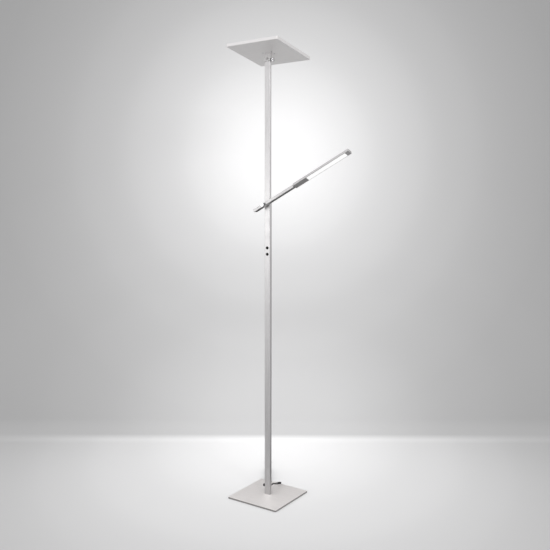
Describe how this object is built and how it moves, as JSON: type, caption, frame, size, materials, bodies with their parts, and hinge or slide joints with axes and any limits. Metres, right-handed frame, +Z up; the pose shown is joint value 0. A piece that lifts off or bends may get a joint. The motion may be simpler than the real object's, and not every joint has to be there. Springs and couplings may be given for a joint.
{
  "type": "torchiere floor lamp with reading light",
  "caption": "Tall satin nickel LED torchiere floor lamp with a tilting square head, an adjustable reading arm, push buttons and a square base.",
  "frame": {"origin": "centre of the base's underside, on the floor", "axes": "+Z up; +X along the post's wide face, the way the reading light points; +Y to the rear, where the mains lead leaves"},
  "size_m": [0.6201, 0.4575, 1.8243],
  "materials": {
    "plate_steel": "satin",
    "post_steel": "satin",
    "arm_aluminium": "satin",
    "head_aluminium": "satin",
    "cast_zinc": "satin",
    "knob_chrome": "polished",
    "bolt_steel": "plain",
    "black_plastic": "matte",
    "button_plastic": "satin",
    "white_plastic": "matte",
    "black_rubber": "matte",
    "cord_pvc": "satin",
    "frosted_acrylic": "frosted",
    "lit_acrylic": "frosted, lit",
    "board_green": "satin",
    "board_white": "matte",
    "plug_pin_brass": "plain"
  },
  "bodies": {
    "lamp": {"base_plate": "plate_steel", "base_pad": "black_rubber", "base_spigot": "bolt_steel", "spigot_screws": "bolt_steel", "lower_post": "post_steel", "upper_post": "post_steel", "post_joiner": "cast_zinc", "joiner_screws": "bolt_steel", "hinge_insert": "cast_zinc", "insert_screw": "bolt_steel", "led_driver": "white_plastic", "driver_loom": "white_plastic", "head_loom": "white_plastic", "button_carrier": "black_plastic", "control_board": "board_green", "pivot_boss": "arm_aluminium", "pivot_washers": "black_plastic", "pivot_bolt": "bolt_steel", "tilt_bolt": "bolt_steel", "tilt_washers": "white_plastic", "knob_washer": "black_plastic", "strain_relief": "cord_pvc", "power_cord": "cord_pvc", "cord_hank": "cord_pvc", "cord_tail": "cord_pvc", "cord_tie": "black_plastic", "plug_body": "cord_pvc", "plug_pins": "plug_pin_brass"},
    "torchiere_head": {"tilt_bracket": "cast_zinc", "bracket_screws": "bolt_steel", "head_tray": "head_aluminium", "heat_spreader": "board_white", "spreader_screws": "bolt_steel", "led_bars": "board_white", "diffuser_frame": "white_plastic", "head_diffuser": "frosted_acrylic"},
    "reading_arm": {"arm_bar": "arm_aluminium", "arm_bush": "white_plastic", "arm_tail_cap": "arm_aluminium", "arm_swivel_plug": "arm_aluminium", "arm_lead": "white_plastic"},
    "reading_light": {"reading_neck": "arm_aluminium", "reading_housing": "arm_aluminium", "reading_end_cap": "arm_aluminium", "reading_diffuser": "lit_acrylic", "reading_led_strip": "board_white", "swivel_set_screw": "bolt_steel"},
    "tilt_knob": {"tilt_knob": "knob_chrome"},
    "arm_knob": {"arm_knob": "knob_chrome"},
    "clamp_screw": {"post_clamp_screw": "black_plastic"},
    "button_upper": {"button_upper": "button_plastic"},
    "button_lower": {"button_lower": "button_plastic"}
  },
  "joints": [
    {"name": "torchiere_tilt", "type": "hinge", "parent": "lamp", "child": "torchiere_head", "pos_m": [0, -0.00175, 1.768], "axis": [1, 0, 0], "range_deg": [-36.3, 53.7]},
    {"name": "reading_arm_swing", "type": "hinge", "parent": "lamp", "child": "reading_arm", "pos_m": [0, -0.023, 1.204], "axis": [0, -1, 0], "range_deg": [-117.2, 62.8]},
    {"name": "reading_light_roll", "type": "hinge", "parent": "reading_arm", "child": "reading_light", "pos_m": [0, -0.023, 1.204], "axis": [0.8894, 0, 0.4571], "range_deg": [-60.9, 119.1]},
    {"name": "tilt_knob_turn", "type": "hinge", "parent": "lamp", "child": "tilt_knob", "pos_m": [0.02, -0.00175, 1.768], "axis": [1, 0, 0], "range_deg": [-180, 180]},
    {"name": "arm_knob_turn", "type": "hinge", "parent": "lamp", "child": "arm_knob", "pos_m": [0, -0.04, 1.204], "axis": [0, -1, 0], "range_deg": [-180, 180]},
    {"name": "clamp_screw_turn", "type": "hinge", "parent": "lamp", "child": "clamp_screw", "pos_m": [-0.018, 0, 0.042], "axis": [-1, 0, 0], "range_deg": [-180, 180]},
    {"name": "button_upper_press", "type": "slide", "parent": "lamp", "child": "button_upper", "axis": [0, 1, 0], "range_m": [0, 0.0008], "stiffness_N_per_m": 1500, "springref_m": -0.0003},
    {"name": "button_lower_press", "type": "slide", "parent": "lamp", "child": "button_lower", "axis": [0, 1, 0], "range_m": [0, 0.0008], "stiffness_N_per_m": 1500, "springref_m": -0.0003}
  ]
}
